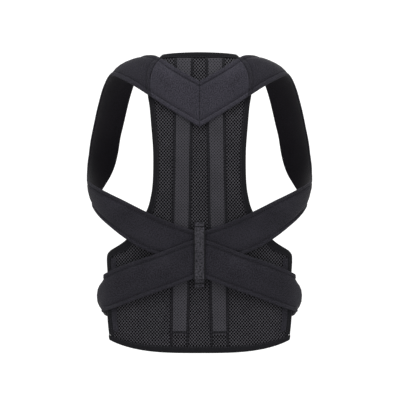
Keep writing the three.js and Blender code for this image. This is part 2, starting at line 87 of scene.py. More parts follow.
class Wire:
    """An output socket in a material's tree. A sum or product of wires adds its Math nodes."""

    def __init__(self, tree, socket):
        self.tree = tree
        self.socket = socket

    def node(self, kind, settings=None, values=None, out=0):
        """Adds a node in the same tree: its settings first, then its sockets' values or wires."""
        made = self.tree.nodes.new(kind)
        for name, value in (settings or {}).items():
            setattr(made, name, value)
        for name, value in (values or {}).items():
            if isinstance(value, Wire):
                self.tree.links.new(value.socket, made.inputs[name])
            else:
                made.inputs[name].default_value = value
        return Wire(self.tree, made.outputs[out])

    def maths(self, operation, *operands):
        return self.node("ShaderNodeMath", {"operation": operation}, dict(enumerate(operands)))

    def __add__(self, other):
        return self.maths("ADD", self, other)

    __radd__ = __add__

    def __sub__(self, other):
        return self.maths("SUBTRACT", self, other)

    def __rsub__(self, other):
        return self.maths("SUBTRACT", other, self)

    def __mul__(self, other):
        return self.maths("MULTIPLY", self, other)

    __rmul__ = __mul__

    def sine(self):
        return self.maths("SINE", self)

    def between(self, low, high):
        """0 at the low value, 1 at the high one and smooth between."""
        settings = {"interpolation_type": "SMOOTHSTEP"}
        return self.node("ShaderNodeMapRange", settings, {0: self, 1: low, 2: high})

    def colours(self, dark, light):
        """The dark colour where the wire is 0 and the light one where it is 1."""
        values = {0: self, 6: (*dark, 1), 7: (*light, 1)}
        return self.node("ShaderNodeMix", {"data_type": "RGBA"}, values, out=2)


def finish(name, sheen=0.0, sheen_rough=0.5):
    """A new material: its cloth map's wire, and a function that fills its shader's sockets."""
    material = bpy.data.materials.new(name)
    material.use_nodes = True
    tree = material.node_tree
    shader = next(n for n in tree.nodes if n.type == "BSDF_PRINCIPLED")
    shader.inputs["Sheen Weight"].default_value = sheen
    shader.inputs["Sheen Roughness"].default_value = sheen_rough
    shader.inputs["Specular IOR Level"].default_value = 0.10
    cloth_map = Wire(tree, tree.nodes.new("ShaderNodeTexCoord").outputs["UV"])

    def fill(**sockets):
        for key, value in sockets.items():
            socket = shader.inputs[key.replace("_", " ")]
            if isinstance(value, Wire):
                tree.links.new(value.socket, socket)
            else:
                socket.default_value = value

    return material, cloth_map, fill


def noise(wire, scale, detail=2.0):
    return wire.node("ShaderNodeTexNoise", None, {"Vector": wire, "Scale": scale, "Detail": detail})


studio_paper, _, fill = finish("studio_paper")
fill(Base_Color=PAPER, Roughness=0.9, Emission_Color=PAPER_LIT, Emission_Strength=PAPER_GLOW)
bend = np.linspace(0, math.pi / 2, 16)
reach = np.array([0.01, *(WALL_AWAY - WALL_BEND + WALL_BEND * np.sin(bend)), WALL_AWAY])
rise = np.array([0, *(WALL_BEND - WALL_BEND * np.cos(bend)), WALL_HEIGHT]) + FLOOR_HEIGHT
turns = np.linspace(0, 2 * math.pi, WALL_SIDES, endpoint=False)
paper_points = [(r * math.cos(a), r * math.sin(a), z) for r, z in zip(reach, rise) for a in turns]
paper_faces = [(i * WALL_SIDES + k, i * WALL_SIDES + (k + 1) % WALL_SIDES,
                (i + 1) * WALL_SIDES + (k + 1) % WALL_SIDES, (i + 1) * WALL_SIDES + k)
               for i in range(len(reach) - 1) for k in range(WALL_SIDES)]
paper_mesh = bpy.data.meshes.new("studio_paper")
paper_mesh.from_pydata(paper_points, [], paper_faces)
paper_mesh.materials.append(studio_paper)
for face in paper_mesh.polygons:
    face.use_smooth = True
paper = bpy.data.objects.new("studio_paper", paper_mesh)
bpy.context.scene.collection.objects.link(paper)
paper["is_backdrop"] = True

world = bpy.data.worlds.new("studio_air")
bpy.context.scene.world = world
world.use_nodes = True
world.node_tree.nodes["Background"].inputs["Color"].default_value = (1, 1, 1, 1)
world.node_tree.nodes["Background"].inputs["Strength"].default_value = 0.12

# Softboxes: name, place, the point it faces, width and power
SOFTBOXES = [
    ("upper_left_box", (-1.1, -1.6, 2.0), (0, 0, -0.10), 0.8, 30),
    ("upper_right_box", (1.5, -1.7, 1.6), (0, 0, -0.15), 0.8, 20),
    ("top_box", (0.0, -0.5, 1.9), (0, 0, -0.15), 1.2, 46),
    ("front_box", (0.3, 2.0, 0.8), (0, 0, -0.25), 1.2, 12),
]
for name, place, target, wide, power in SOFTBOXES:
    lamp = bpy.data.objects.new(name, bpy.data.lights.new(name, "AREA"))
    lamp.data.size = wide
    lamp.data.energy = power
    lamp.location = place
    aim = Vector(target) - Vector(place)
    lamp.rotation_euler = aim.to_track_quat("-Z", "Y").to_euler()
    bpy.context.scene.collection.objects.link(lamp)

# The body form that the cloth lies on, which isn't part of the object. Every piece's place on it
# is a lift: its distance out from the form.
BACK_LENGTH = 0.434
BODY_WIDTH = 0.300
BODY_DEPTH = 0.200


def table(names, rows):
    return dict(zip(names.split(), np.array(rows, float).T))


# level: distance below the origin, as a share of the back's length. wide: half width, as a share
# of half the body's width. back, front: depths, as shares of the body's. squares: exponents.
FORM = table("level wide back front back_square front_square", [
    (-0.055, 0.300, 0.230, 0.100, 2.2, 2.4),
    (0.007, 0.405, 0.270, 0.165, 2.2, 2.4),
    (0.028, 0.580, 0.288, 0.205, 2.2, 2.6),
    (0.046, 0.705, 0.303, 0.240, 2.3, 2.8),
    (0.073, 0.812, 0.320, 0.285, 2.3, 3.1),
    (0.106, 0.882, 0.335, 0.335, 2.4, 3.6),
    (0.147, 0.925, 0.350, 0.380, 2.4, 4.2),
    (0.220, 0.978, 0.380, 0.440, 2.5, 5.0),
    (0.335, 1.044, 0.410, 0.520, 2.6, 5.0),
    (0.420, 1.035, 0.415, 0.540, 2.7, 4.0),
    (0.490, 0.992, 0.405, 0.538, 2.8, 3.6),
    (0.573, 0.955, 0.380, 0.530, 2.9, 3.2),
    (0.688, 0.925, 0.345, 0.510, 3.2, 2.8),
    (0.814, 0.912, 0.330, 0.495, 3.4, 2.6),
    (0.917, 0.938, 0.350, 0.500, 3.4, 2.6),
    (1.010, 0.975, 0.390, 0.520, 3.4, 2.6),
])


def follow(rows, key, column, at):
    """The value of a table's column at places between its rows, on a smooth curve through them."""
    keys, values = rows[key], rows[column]
    at = np.asarray(at, float)
    last = len(keys) - 1
    i = np.clip(np.searchsorted(keys, at) - 1, 0, last - 1)
    before = np.maximum(np.arange(last + 1) - 1, 0)
    after = np.minimum(np.arange(last + 1) + 1, last)
    slopes = (values[after] - values[before]) / (keys[after] - keys[before])
    span = keys[i + 1] - keys[i]
    t = (at - keys[i]) / span
    curve = (values[i] + (values[i + 1] - values[i]) * t * t * (3 - 2 * t)
             + t * (1 - t) ** 2 * span * slopes[i] + t * t * (t - 1) * span * slopes[i + 1])
    ahead = values[i] + slopes[i] * (at - keys[i])
    beyond = values[i + 1] + slopes[i + 1] * (at - keys[i + 1])
    return np.where(t <= 0, ahead, np.where(t >= 1, beyond, curve))


def ramp(start, end, at):
    """0 before the start, 1 after the end, and a smooth step between."""
    t = np.clip((at - start) / (end - start), 0, 1)
    return t * t * (3 - 2 * t)


def form_section(height):
    level = -np.asarray(height, float) / BACK_LENGTH
    scales = {"wide": BODY_WIDTH / 2, "back": BODY_DEPTH, "front": BODY_DEPTH,
              "back_square": 1, "front_square": 1}
    return [follow(FORM, "level", name, level) * scale for name, scale in scales.items()]


def form_distance(points):
    """Less than 0 inside the form, 0 on it and more outside."""
    x, y, z = np.moveaxis(points, -1, 0)
    wide, back, front, back_square, front_square = form_section(z)
    square = np.where(y > 0, front_square, back_square)
    deep = np.where(y > 0, front, back)
    return (np.abs(x / wide) ** square + np.abs(y / deep) ** square) ** (1 / square) - 1


def unit(vectors):
    return vectors / np.linalg.norm(vectors, axis=-1, keepdims=True)


def form_normal(points):
    reach = np.eye(3) * 0.0005
    return unit(np.stack([form_distance(points + r) - form_distance(points - r) for r in reach], -1))


def form_point(turn, height):
    """The form's point at a turn and a height: 270 is the back's centre, 90 the front's."""
    wide, back, front, back_square, front_square = form_section(height)
    cos, sin = np.cos(np.radians(turn)), np.sin(np.radians(turn))
    square = np.where(sin > 0, front_square, back_square)
    deep = np.where(sin > 0, front, back)
    x = wide * np.sign(cos) * np.abs(cos) ** (2 / square)
    y = deep * np.sign(sin) * np.abs(sin) ** (2 / square)
    return np.stack([x, y, height], -1)


DROP_REACH = 0.060
WALK = np.linspace(0, math.pi / 2, 241)
WALK_BATCH = 4000


def back_point(flat, height):
    """The form's point at a height, a flat distance from the back's centre line."""
    flat, height = np.broadcast_arrays(np.asarray(flat, float), np.asarray(height, float))
    found = np.empty((flat.size, 3))
    for batch in np.array_split(np.arange(flat.size), flat.size // WALK_BATCH + 1):
        far, level = np.abs(flat.ravel()[batch]), height.ravel()[batch]
        wide, back, _, square, _ = (part[:, None] for part in form_section(level))
        x = wide * np.sin(WALK) ** (2 / square)
        y = -back * np.abs(np.cos(WALK)) ** (2 / square)
        steps = np.hypot(np.diff(x), np.diff(y))
        walked = np.concatenate([np.zeros((len(batch), 1)), np.cumsum(steps, axis=1)], axis=1)
        i = np.clip((walked < far[:, None]).sum(axis=1) - 1, 0, len(WALK) - 2)
        row = np.arange(len(batch))
        part = (far - walked[row, i]) / steps[row, i]
        found[batch, 0] = (x[row, i] + (x[row, i + 1] - x[row, i]) * part)
        found[batch, 1] = y[row, i] + (y[row, i + 1] - y[row, i]) * part
        found[batch, 2] = level
    found[:, 0] *= np.where(flat.ravel() < 0, -1, 1)
    return found.reshape(*flat.shape, 3)


def drop_on_form(points, directions):
    """The points where lines along the directions meet the form."""
    inside = np.full(points.shape[:-1], -DROP_REACH)
    outside = -inside
    for _ in range(24):
        middle = (inside + outside) / 2
        out = form_distance(points + directions * middle[..., None]) > 0
        outside = np.where(out, middle, outside)
        inside = np.where(out, inside, middle)
    return points + directions * inside[..., None]


def lifted(points, lift):
    return points + form_normal(points) * np.asarray(lift)[..., None]


# Back panel: one cut of spacer mesh from the neck to the small of the back, narrow at the waist
# and flared below. Two knitted faces with open diamond holes stand a few millimetres apart.
PANEL_RISE = 0.001
PANEL_WIDTH = 0.276
PANEL_THICK = 0.003
PANEL_TOP_DROP = 0.004
PANEL_BOTTOM_RISE = 0.017
BINDING_LIFT = 0.0003
BINDING_THICK = 0.001
BINDING_WIDTH = 0.007
SEAM_GAP = 0.0003
LAYER_GAP = 0.0004
PANEL_LIFT = BINDING_LIFT + BINDING_THICK + SEAM_GAP
POCKET_WIDTH = 0.027
POCKET_TOP_CENTRE = 0.022
POCKET_BOTTOM_CENTRE = 0.0295
POCKET_FOOT = 0.019
MESH_PITCH = (0.0044, 0.0050)
MESH_HOLE = 0.72
MESH_KNOT = 0.00015
MESH_RIM = 0.0003
MESH_DEPTH = 0.0022
MESH_INSET = 0.0006

# down: share of the side edge's length from the top corner. half: flat distance from the centre
# line, as a share of half the panel's width.
PANEL_EDGE = table("down half", [
    (0.000, 0.400), (0.030, 0.455), (0.070, 0.498), (0.120, 0.535), (0.183, 0.512), (0.254, 0.493),
    (0.324, 0.477), (0.380, 0.474), (0.442, 0.479), (0.488, 0.496), (0.541, 0.540), (0.595, 0.640),
    (0.645, 0.755), (0.668, 0.845), (0.688, 0.955), (0.703, 0.995), (0.766, 0.988), (0.839, 0.990),
    (0.912, 0.985), (0.961, 0.965), (1.000, 0.945),
])


def panel_ends(across):
    top = PANEL_RISE - PANEL_TOP_DROP * across ** 2
    return top, PANEL_RISE - BACK_LENGTH + PANEL_BOTTOM_RISE * np.abs(across) ** 3.2


def panel_height(across, down):
    top, bottom = panel_ends(across)
    return top + (bottom - top) * down


def panel_half(down):
    return follow(PANEL_EDGE, "down", "half", down) * PANEL_WIDTH / 2


def panel_point(flat, down):
    return back_point(flat, panel_height(flat / panel_half(down), down))


def panel_down(flat, height):
    """How far down the panel a point at a height lies."""
    down = (PANEL_RISE - height) / BACK_LENGTH
    for _ in range(8):
        top, bottom = panel_ends(np.clip(flat / panel_half(down), -1, 1))
        down = np.clip((top - height) / (top - bottom), -0.05, 1.05)
    return down


def pocket_middle(down):
    return POCKET_TOP_CENTRE + (POCKET_BOTTOM_CENTRE - POCKET_TOP_CENTRE) * down


def add_piece(name, points, faces, corner_maps, finishes, finish_at):
    """A mesh object whose faces look outwards, with its cloth map in metres, on the root body."""
    mesh = bpy.data.meshes.new(name)
    mesh.from_pydata(points.tolist(), [], faces)
    layer = mesh.uv_layers.new(name="cloth_map")
    layer.data.foreach_set("uv", np.asarray(corner_maps, float).ravel())
    for material in finishes:
        mesh.materials.append(material)
    mesh.polygons.foreach_set("material_index", np.asarray(finish_at, int))
    mesh.polygons.foreach_set("use_smooth", np.ones(len(faces), bool))
    skin = bmesh.new()
    skin.from_mesh(mesh)
    if skin.calc_volume(signed=True) < 0:
        bmesh.ops.reverse_faces(skin, faces=skin.faces)
        skin.to_mesh(mesh)
    skin.free()
    piece = bpy.data.objects.new(name, mesh)
    bpy.context.scene.collection.objects.link(piece)
    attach(piece, "root")
    return piece


# The loop of points round a diamond cell: its corners and its sides' middles, in quarter pitches
CELL_LOOP = np.array([(2, 0), (1, -1), (0, -2), (-1, -1), (-2, 0), (-1, 1), (0, 2), (1, 1)])
CELL_CORNERS = [0, 2, 4, 6]
HOLE_SQUARE = 1.35


def hole_loop(share, pitch):
    """Points round a hole with rounded corners, that takes a share of its cell."""
    turns = np.radians(np.arange(0, -360, -45))
    flat = np.stack([np.cos(turns), np.sin(turns)], -1)
    size = (np.abs(flat) ** HOLE_SQUARE).sum(axis=1, keepdims=True) ** (-1 / HOLE_SQUARE)
    return flat * size * share * np.array(pitch) / 2


def open_net(name, reach, pitch, kept, plain, place, hole, finishes):
    """A knitted net of diamond cells as a closed solid.

    reach: flat half width, top and bottom height. pitch: a cell's width and height. kept, plain:
    which cells at a flat distance and a height are in it, and which of them have no hole. place: a
    point from a flat distance, a height and a depth: 0 at the threads, 1 at a knot, 2 at a hole's
    rim, 3 at its bottom and 4 at the inner face. hole: its share of a cell.
    """
    half, top, bottom = reach
    wide, tall = pitch
    columns = int(half / wide * 2) + 2
    rows = int((top - bottom) / tall * 2) + 2
    i, j = np.meshgrid(np.arange(-columns, columns + 1), np.arange(0, rows + 1), indexing="ij")
    cell = (i + j) % 2 == 0
    i, j = i[cell], -j[cell]
    centres = np.stack([i * wide / 2, top + j * tall / 2], -1)
    keep = kept(centres[:, 0], centres[:, 1])
    i, j, centres = i[keep], j[keep], centres[keep]
    around = 2 * np.stack([i, j], -1)[:, None] + CELL_LOOP
    spots, loop = np.unique(around.reshape(-1, 2), axis=0, return_inverse=True)
    loop = loop.reshape(-1, 8)
    spot_flat = np.stack([spots[:, 0] * wide / 4, top + spots[:, 1] * tall / 4], -1)
    knots = (spots % 2 == 0).all(axis=1)
    holed = ~plain(centres[:, 0], centres[:, 1])
    rims = (centres[holed][:, None] + hole_loop(hole, pitch)).reshape(-1, 2)
    flats = np.concatenate([spot_flat, spot_flat, rims, centres[holed]])
    count, open_count = len(spots), int(holed.sum())
    depths = np.concatenate([np.where(knots, 1, 0), np.full(count, 4), np.full(len(rims), 2),
                             np.full(open_count, 3)])
    points = place(flats[:, 0], flats[:, 1], depths)
    inner = loop[:, CELL_CORNERS] + count
    rim = 2 * count + np.arange(8 * open_count).reshape(-1, 8)
    pit = 2 * count + 8 * open_count + np.arange(open_count)
    faces = loop[~holed].tolist() + inner[:, ::-1].tolist()
    finish_at = [0] * int((~holed).sum()) + [2] * len(inner)
    for k in range(len(CELL_LOOP)):
        n = (k + 1) % len(CELL_LOOP)
        threads = np.stack([loop[holed][:, k], loop[holed][:, n], rim[:, n], rim[:, k]], -1)
        faces += threads.tolist() + np.stack([rim[:, k], rim[:, n], pit], -1).tolist()
        finish_at += [0] * open_count + [1] * open_count
    sides = np.concatenate([loop[:, [k, k + 1, (k + 2) % 8]] for k in CELL_CORNERS]).tolist()
    known = {(start, end) for start, _, end in sides}
    rim_sides = [side for side in sides if (side[2], side[0]) not in known]
    faces += [[end, middle, start, start + count, end + count] for start, middle, end in rim_sides]
    finish_at += [0] * len(rim_sides)
    used = np.unique(np.concatenate([np.asarray(face) for face in faces]))
    renumber = np.zeros(len(points), int)
    renumber[used] = np.arange(len(used))
    faces = [renumber[face].tolist() for face in faces]
    maps = flats[used][np.concatenate(faces)]
    return add_piece(name, points[used], faces, maps, finishes, finish_at)


def knit_finish(name, dark, light, gauge, bump, rough, sheen=0.0, ribs=(1.0, 1.0), grain=0.9,
                painted_shade=None):
    """Knitted or woven cloth: fine loops in rows, a speckle of yarn and broad soft patches. The last
    argument, if given, darkens the tone from the cloth map's two wires with painted shade along a strip's
    edges and fold lines."""
    material, cloth_map, fill = finish(name, sheen)
    parts = cloth_map.node("ShaderNodeSeparateXYZ", None, {"Vector": cloth_map})
    u = Wire(parts.tree, parts.socket.node.outputs["X"])
    v = Wire(parts.tree, parts.socket.node.outputs["Y"])
    turns = 2 * math.pi / gauge
    loops = (u * (turns * ribs[0])).sine() * (v * (turns * ribs[1])).sine() * 0.5 + 0.5
    speckle = noise(cloth_map, grain / gauge)
    patches = noise(cloth_map, 28.0)
    tone = (speckle * 0.85 + patches * 0.22 + loops * 0.30).between(0.44, 0.94)
    # Painted shade, where given: the tone darkens along edges and fold lines.
    if painted_shade:
        tone = tone * painted_shade(u, v)
    height = loops * 0.7 + speckle * 0.6
    values = {"Height": height, "Strength": bump, "Distance": gauge * 0.35}
    fill(
        Base_Color=tone.colours(dark, light),
        Roughness=speckle * 0.16 + (rough - 0.08),
        Normal=height.node("ShaderNodeBump", None, values),
    )
    return material


mesh_thread = knit_finish("mesh_thread", (0.0225, 0.0219, 0.0258), (0.072, 0.070, 0.080), 0.0006, 0.5, 0.75)
# The holes' near-black colour is painted shade: it stands for the shade deep inside each open hole.
mesh_hole_painted_shade = knit_finish("mesh_hole_painted_shade", (0.0010, 0.0010, 0.0012), (0.003, 0.003, 0.0035), 0.0006, 0.2, 0.95)
mesh_inside = knit_finish("mesh_inside", (0.010, 0.010, 0.012), (0.050, 0.049, 0.055), 0.0030, 0.9, 0.85)

MESH_TOP = PANEL_LIFT + PANEL_THICK
MESH_LIFTS = np.array([MESH_TOP, MESH_TOP + MESH_KNOT, MESH_TOP - MESH_RIM, MESH_TOP - MESH_DEPTH,
                       PANEL_LIFT])


def mesh_kept(flat, height):
    down = panel_down(flat, height)
    end = (MESH_INSET + MESH_PITCH[1] / 2) / BACK_LENGTH
    half = panel_half(down) - MESH_INSET - MESH_PITCH[0] / 2
    return (np.abs(flat) < half) & (down > end) & (down < 1 - end)


def mesh_covered(flat, height):
    down = panel_down(flat, height)
    off_middle = np.abs(np.abs(flat) - pocket_middle(down))
    above_foot = down < 1 - (BINDING_WIDTH + POCKET_FOOT) / BACK_LENGTH
    return (off_middle < POCKET_WIDTH / 2 - MESH_PITCH[0] / 2) & above_foot


back_panel = open_net(
    "back_panel_mesh", (PANEL_WIDTH / 2, PANEL_RISE, PANEL_RISE - BACK_LENGTH), MESH_PITCH,
    mesh_kept, mesh_covered, lambda flat, height, deep: lifted(back_point(flat, height), MESH_LIFTS[deep]),
    MESH_HOLE, [mesh_thread, mesh_hole_painted_shade, mesh_inside])
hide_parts("back_panel")

# Bindings: knitted tape folded over the panel's raw edges and stitched through, one along each
# side and one along each end.
STITCH_PITCH = 0.0032
THREAD_RISE = 0.0001
TAPE_STITCH = 0.0056
BINDING_TOP = PANEL_LIFT + PANEL_THICK + SEAM_GAP + BINDING_THICK
SIDE_LENGTH = float(panel_height(1, 0) - panel_height(1, 1))
BINDING_DOWN = (BINDING_WIDTH + SEAM_GAP * 2) / SIDE_LENGTH
TAPE_STEPS = 150

tape = knit_finish("binding_tape", (0.0014, 0.0013, 0.0020), (0.0062, 0.0060, 0.0080), 0.0009, 0.6, 0.8,
                   sheen=0.02, ribs=(0.5, 1.0))
stitch_thread = knit_finish("stitch_thread", (0.012, 0.012, 0.015), (0.040, 0.039, 0.047), 0.0004, 0.5, 0.6)


def swept(name, rings, finishes, finish_at=None):
    """A closed skin over rings of points, with flat ends."""
    rows, count = rings.shape[:2]
    i, k = (grid.ravel() for grid in np.meshgrid(np.arange(rows - 1), np.arange(count), indexing="ij"))
    following = (k + 1) % count
    faces = np.stack([i * count + k, i * count + following, (i + 1) * count + following,
                      (i + 1) * count + k], -1).tolist()
    around = np.linalg.norm(np.roll(rings, -1, axis=1) - rings, axis=2).mean(axis=0)
    around = np.concatenate([[0], np.cumsum(around)])
    middles = rings.mean(axis=1)
    along = np.concatenate([[0], np.cumsum(np.linalg.norm(np.diff(middles, axis=0), axis=1))])
    corners = [(around[k], along[i]), (around[k + 1], along[i]), (around[k + 1], along[i + 1]),
               (around[k], along[i + 1])]
    maps = np.stack([np.stack(corner, -1) for corner in corners], 1).reshape(-1, 2).tolist()
    materials = np.zeros(len(faces), int) if finish_at is None else np.asarray(finish_at)[k]
    for row, turn in ((0, -1), (rows - 1, 1)):
        for m in range(count // 2 - 1):
            cap = [m, m + 1, count - 2 - m, count - 1 - m][::turn]
            faces.append([row * count + c for c in cap])
            maps += [(around[c], along[row]) for c in cap]
    materials = np.concatenate([materials, np.zeros(2 * (count // 2 - 1), int)])
    return add_piece(name, rings.reshape(-1, 3), faces, maps, finishes, materials)


STITCH_LONG = 0.0023
STITCH_WIDE = 0.00055
STITCH_HIGH = 0.00042
# One stitch: along, across and up, as shares of its length, width and height, from tip to tip
STITCH_SHAPE = np.array([
    (-0.50, 0.0, -0.6), (-0.32, 0.5, 0.0), (-0.32, 0.0, 0.5), (-0.32, -0.5, 0.0), (-0.32, 0.0, -0.5),
    (0.32, 0.5, 0.0), (0.32, 0.0, 0.5), (0.32, -0.5, 0.0), (0.32, 0.0, -0.5), (0.50, 0.0, -0.6),
])
STITCH_FACES = [(0, 2, 1), (0, 3, 2), (0, 4, 3), (0, 1, 4), (9, 5, 6), (9, 6, 7), (9, 7, 8), (9, 8, 5),
                (1, 2, 6, 5), (2, 3, 7, 6), (3, 4, 8, 7), (4, 1, 5, 8)]


def stitches(name, lines):
    """Rows of sewn stitches as one piece. Each line is the points along one seam, on the cloth."""
    places = []
    for line in lines:
        steps = np.linalg.norm(np.diff(line, axis=0), axis=1)
        along = np.concatenate([[0], np.cumsum(steps)])
        count = max(int(along[-1] / STITCH_PITCH), 1)
        spots = (np.arange(count) + 0.5) * along[-1] / count
        ends = [np.stack([np.interp(spots + shift, along, line[:, axis]) for axis in range(3)], -1)
                for shift in (-STITCH_LONG / 2, STITCH_LONG / 2)]
        places.append(np.stack(ends, 1))
    places = np.concatenate(places)
    middle = places.mean(axis=1)
    ahead = unit(places[:, 1] - places[:, 0])
    up = form_normal(middle)
    beside = unit(np.cross(ahead, up))
    scale = (STITCH_LONG, STITCH_WIDE, STITCH_HIGH)
    axes = [axis[:, None] * STITCH_SHAPE[None, :, n, None] * scale[n]
            for n, axis in enumerate((ahead, beside, up))]
    points = (middle[:, None] + sum(axes)).reshape(-1, 3)
    faces = [[c + n * len(STITCH_SHAPE) for c in face] for n in range(len(middle)) for face in STITCH_FACES]
    maps = np.concatenate([STITCH_SHAPE[list(face), :2] * STITCH_LONG for face in STITCH_FACES])
    maps = np.tile(maps, (len(middle), 1))
    return add_piece(name, points, faces, maps, [stitch_thread], np.zeros(len(faces), int))


# The tape's section as inward distance and lift: round the outside of the fold, then back inside
TAPE_OUTSIDE = [
    (0.0070, 0.0003), (0.0062, 0.0002), (0.0035, 0.0003), (0.0010, 0.0003), (-0.0003, 0.0004),
    (-0.0010, 0.0009), (-0.0014, 0.0018), (-0.0015, 0.0031), (-0.0014, 0.0045), (-0.0010, 0.0054),
    (-0.0003, 0.0060), (0.0008, 0.0063), (0.0024, 0.0064), (0.0042, 0.0063), (0.0051, 0.0060),
    (0.0056, 0.0057), (0.0061, 0.0059), (0.0066, 0.0060), (0.0070, 0.0056),
]
TAPE_INSIDE = [
    (0.0070, 0.0050), (0.0066, 0.0049), (0.0061, 0.0049), (0.0056, 0.0049), (0.0051, 0.0049),
    (0.0042, 0.0049), (0.0024, 0.0049), (0.0008, 0.0049), (-0.0001, 0.0049), (-0.0003, 0.0046),
    (-0.0003, 0.0040), (-0.0003, 0.0031), (-0.0003, 0.0024), (-0.0003, 0.0016), (-0.0001, 0.0013),
    (0.0010, 0.0013), (0.0035, 0.0013), (0.0062, 0.0013), (0.0070, 0.0013),
]
TAPE_SECTION = np.array(TAPE_OUTSIDE + TAPE_INSIDE)


def binding_reach(down):
    """How far in the tape reaches at a side edge, measured along the row."""
    step = 0.01
    slope = (panel_half(down + step) - panel_half(down - step)) / (2 * step * SIDE_LENGTH)
    return BINDING_WIDTH * np.sqrt(1 + slope ** 2)


def side_tape_point(side, down, inward):
    stretch = binding_reach(down) / BINDING_WIDTH
    return panel_point(side * (panel_half(down) - inward * stretch), down)


def end_tape_point(edge, inwards, share, inward):
    down = edge + inwards * inward / SIDE_LENGTH
    beyond = np.where(np.abs(share) > 1, np.sign(share) * (SEAM_GAP + BINDING_THICK), 0)
    return panel_point(np.clip(share, -1, 1) * panel_half(down) + beyond, down)


def tape_piece(name, place, spots, node):
    """A folded tape and its stitches, from the form's points at spots along an edge."""
    base = place(spots[:, None], TAPE_SECTION[None, :, 0])
    lift = np.broadcast_to(TAPE_SECTION[:, 1], base.shape[:2])
    piece = swept(name, lifted(base, lift), [tape])
    seam_lift = np.full(len(spots), BINDING_TOP + THREAD_RISE)
    seam = lifted(place(spots, np.full(len(spots), TAPE_STITCH)), seam_lift)
    sewn = stitches(name + "_stitches", [seam])
    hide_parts(node)
    length = float(np.linalg.norm(np.diff(place(spots, np.zeros(len(spots))), axis=0), axis=1).sum())
    return piece


SIDES = {"left": -1, "right": 1}
side_spots = np.linspace(BINDING_DOWN, 1 - BINDING_DOWN, TAPE_STEPS)
end_spots = np.concatenate([[-1.001], np.linspace(-1, 1, 90), [1.001]])
bindings = [
    tape_piece(f"{word}_side_tape", lambda down, inward, s=side: side_tape_point(s, down, inward),
               side_spots, f"{word}_side_binding")
    for word, side in SIDES.items()
]
bindings += [
    tape_piece(f"{word}_tape", lambda share, inward, e=edge: end_tape_point(e, 1 - 2 * e, share, inward),
               end_spots, f"{word}_binding")
    for word, edge in (("top", 0), ("bottom", 1))
]
panel_area = float(2 * panel_half(np.linspace(0, 1, 200)).mean()) * (BACK_LENGTH - PANEL_BOTTOM_RISE / 2)

# Side tabs: flat strips of smooth cloth sewn on beside the side tapes, down the flare's edges,
# where the waist straps rub.
SIDE_TAB_TOP = 0.703
SIDE_TAB_BOTTOM = 0.961
SIDE_TAB_WIDTH = 0.009
SIDE_TAB_THICK = 0.0008
POCKET_LIFT = PANEL_LIFT + PANEL_THICK + LAYER_GAP

strap_cloth = knit_finish("strap_cloth", (0.0028, 0.0026, 0.0042), (0.0235, 0.0222, 0.0290), 0.0011,
                          0.9, 0.86, sheen=0.02, grain=0.62)


def rounded(distance, roll):
    """The share of its full thickness that rounded cloth has at a distance from its edge."""
    return np.sqrt(np.clip(1 - (1 - np.clip(distance / roll, 0, 1)) ** 2, 0, 1))


def strip_rings(base, low, high, mirror=1):
    """Rings of a strip from its faces' lifts: across the low face, then back over the high one."""
    low, high = (lifted(base, np.broadcast_to(lift, base.shape[:2])) * mirror for lift in (low, high))
    return np.concatenate([low, high[:, ::-1]], axis=1)


TAB_ACROSS = np.array([0, 0.00015, 0.0005, 0.0012, 0.0045, 0.0078, 0.0085, 0.00885, 0.009])
TAB_ROLL = 0.0006
TAB_STEPS = 60
for word, side in SIDES.items():
    down = np.linspace(SIDE_TAB_TOP, SIDE_TAB_BOTTOM, TAB_STEPS)
    outer = panel_half(down) - binding_reach(down) - LAYER_GAP
    flats = side * (outer[:, None] - TAB_ACROSS)
    base = panel_point(flats, np.broadcast_to(down[:, None], flats.shape))
    half = rounded(np.minimum(TAB_ACROSS, SIDE_TAB_WIDTH - TAB_ACROSS), TAB_ROLL) * SIDE_TAB_THICK / 2
    middle = POCKET_LIFT + SIDE_TAB_THICK / 2
    rings = strip_rings(base, middle - half, middle + half)
    tab = swept(f"{word}_tab_cloth", rings, [strap_cloth])
    seam = lifted(base[:, -3], np.full(TAB_STEPS, POCKET_LIFT + SIDE_TAB_THICK + THREAD_RISE))
    sewn = stitches(f"{word}_tab_stitches", [seam])
    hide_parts(f"{word}_side_tab")

# Stay pockets: long raised channels of finer mesh, sewn down both sides and across the foot, that
# hide the two flexible stays.
POCKET_THICK = 0.0015
POCKET_PITCH = (0.0043, 0.0046)
POCKET_HOLE = 0.46
POCKET_CROWN = 0.0006
POCKET_FLANGE = 0.0030
POCKET_END = 1 - (BINDING_WIDTH + POCKET_FOOT) / BACK_LENGTH
SEAM_TAPE_WIDE = 0.0034
SEAM_TAPE_THICK = 0.0007
SEAM_TAPE_ROLL = 0.0007
SEAM_TAPE_RISE = 0.0003
SEAM_TOP = 0.002
SEAM_FOOT = 0.001
SEAM_STEPS = 130
SEAM_SINKS = (POCKET_END - 0.012, POCKET_END + 0.010)
FOOT_WIDE = POCKET_WIDTH - 0.0002
FOOT_RISE = 0.0004
FOOT_STEPS = 24
NET_REACH = 0.046
NET_TOP = 0.004
NET_FOOT = 0.003

pocket_thread = knit_finish("pocket_thread", (0.016, 0.0156, 0.0186), (0.049, 0.047, 0.055), 0.0005,
                            0.5, 0.8)
# The pocket holes' near-black colour is painted shade inside each hole; the pockets' hidden inner faces take
# the same material.
pocket_hole_painted_shade = knit_finish("pocket_hole_painted_shade", (0.0030, 0.0030, 0.0036), (0.009, 0.009, 0.0105), 0.0005, 0.3, 0.9)


def pocket_top(across):
    """The lift of a pocket's outer face at a distance from its middle line."""
    inside = POCKET_WIDTH / 2 - np.abs(across)
    raised = ramp(POCKET_FLANGE * 0.6, POCKET_FLANGE * 2.2, inside)
    crown = POCKET_CROWN * (1 - (2 * across / POCKET_WIDTH) ** 2)
    return POCKET_LIFT + POCKET_THICK * 0.5 + (POCKET_THICK * 0.5 + crown) * raised


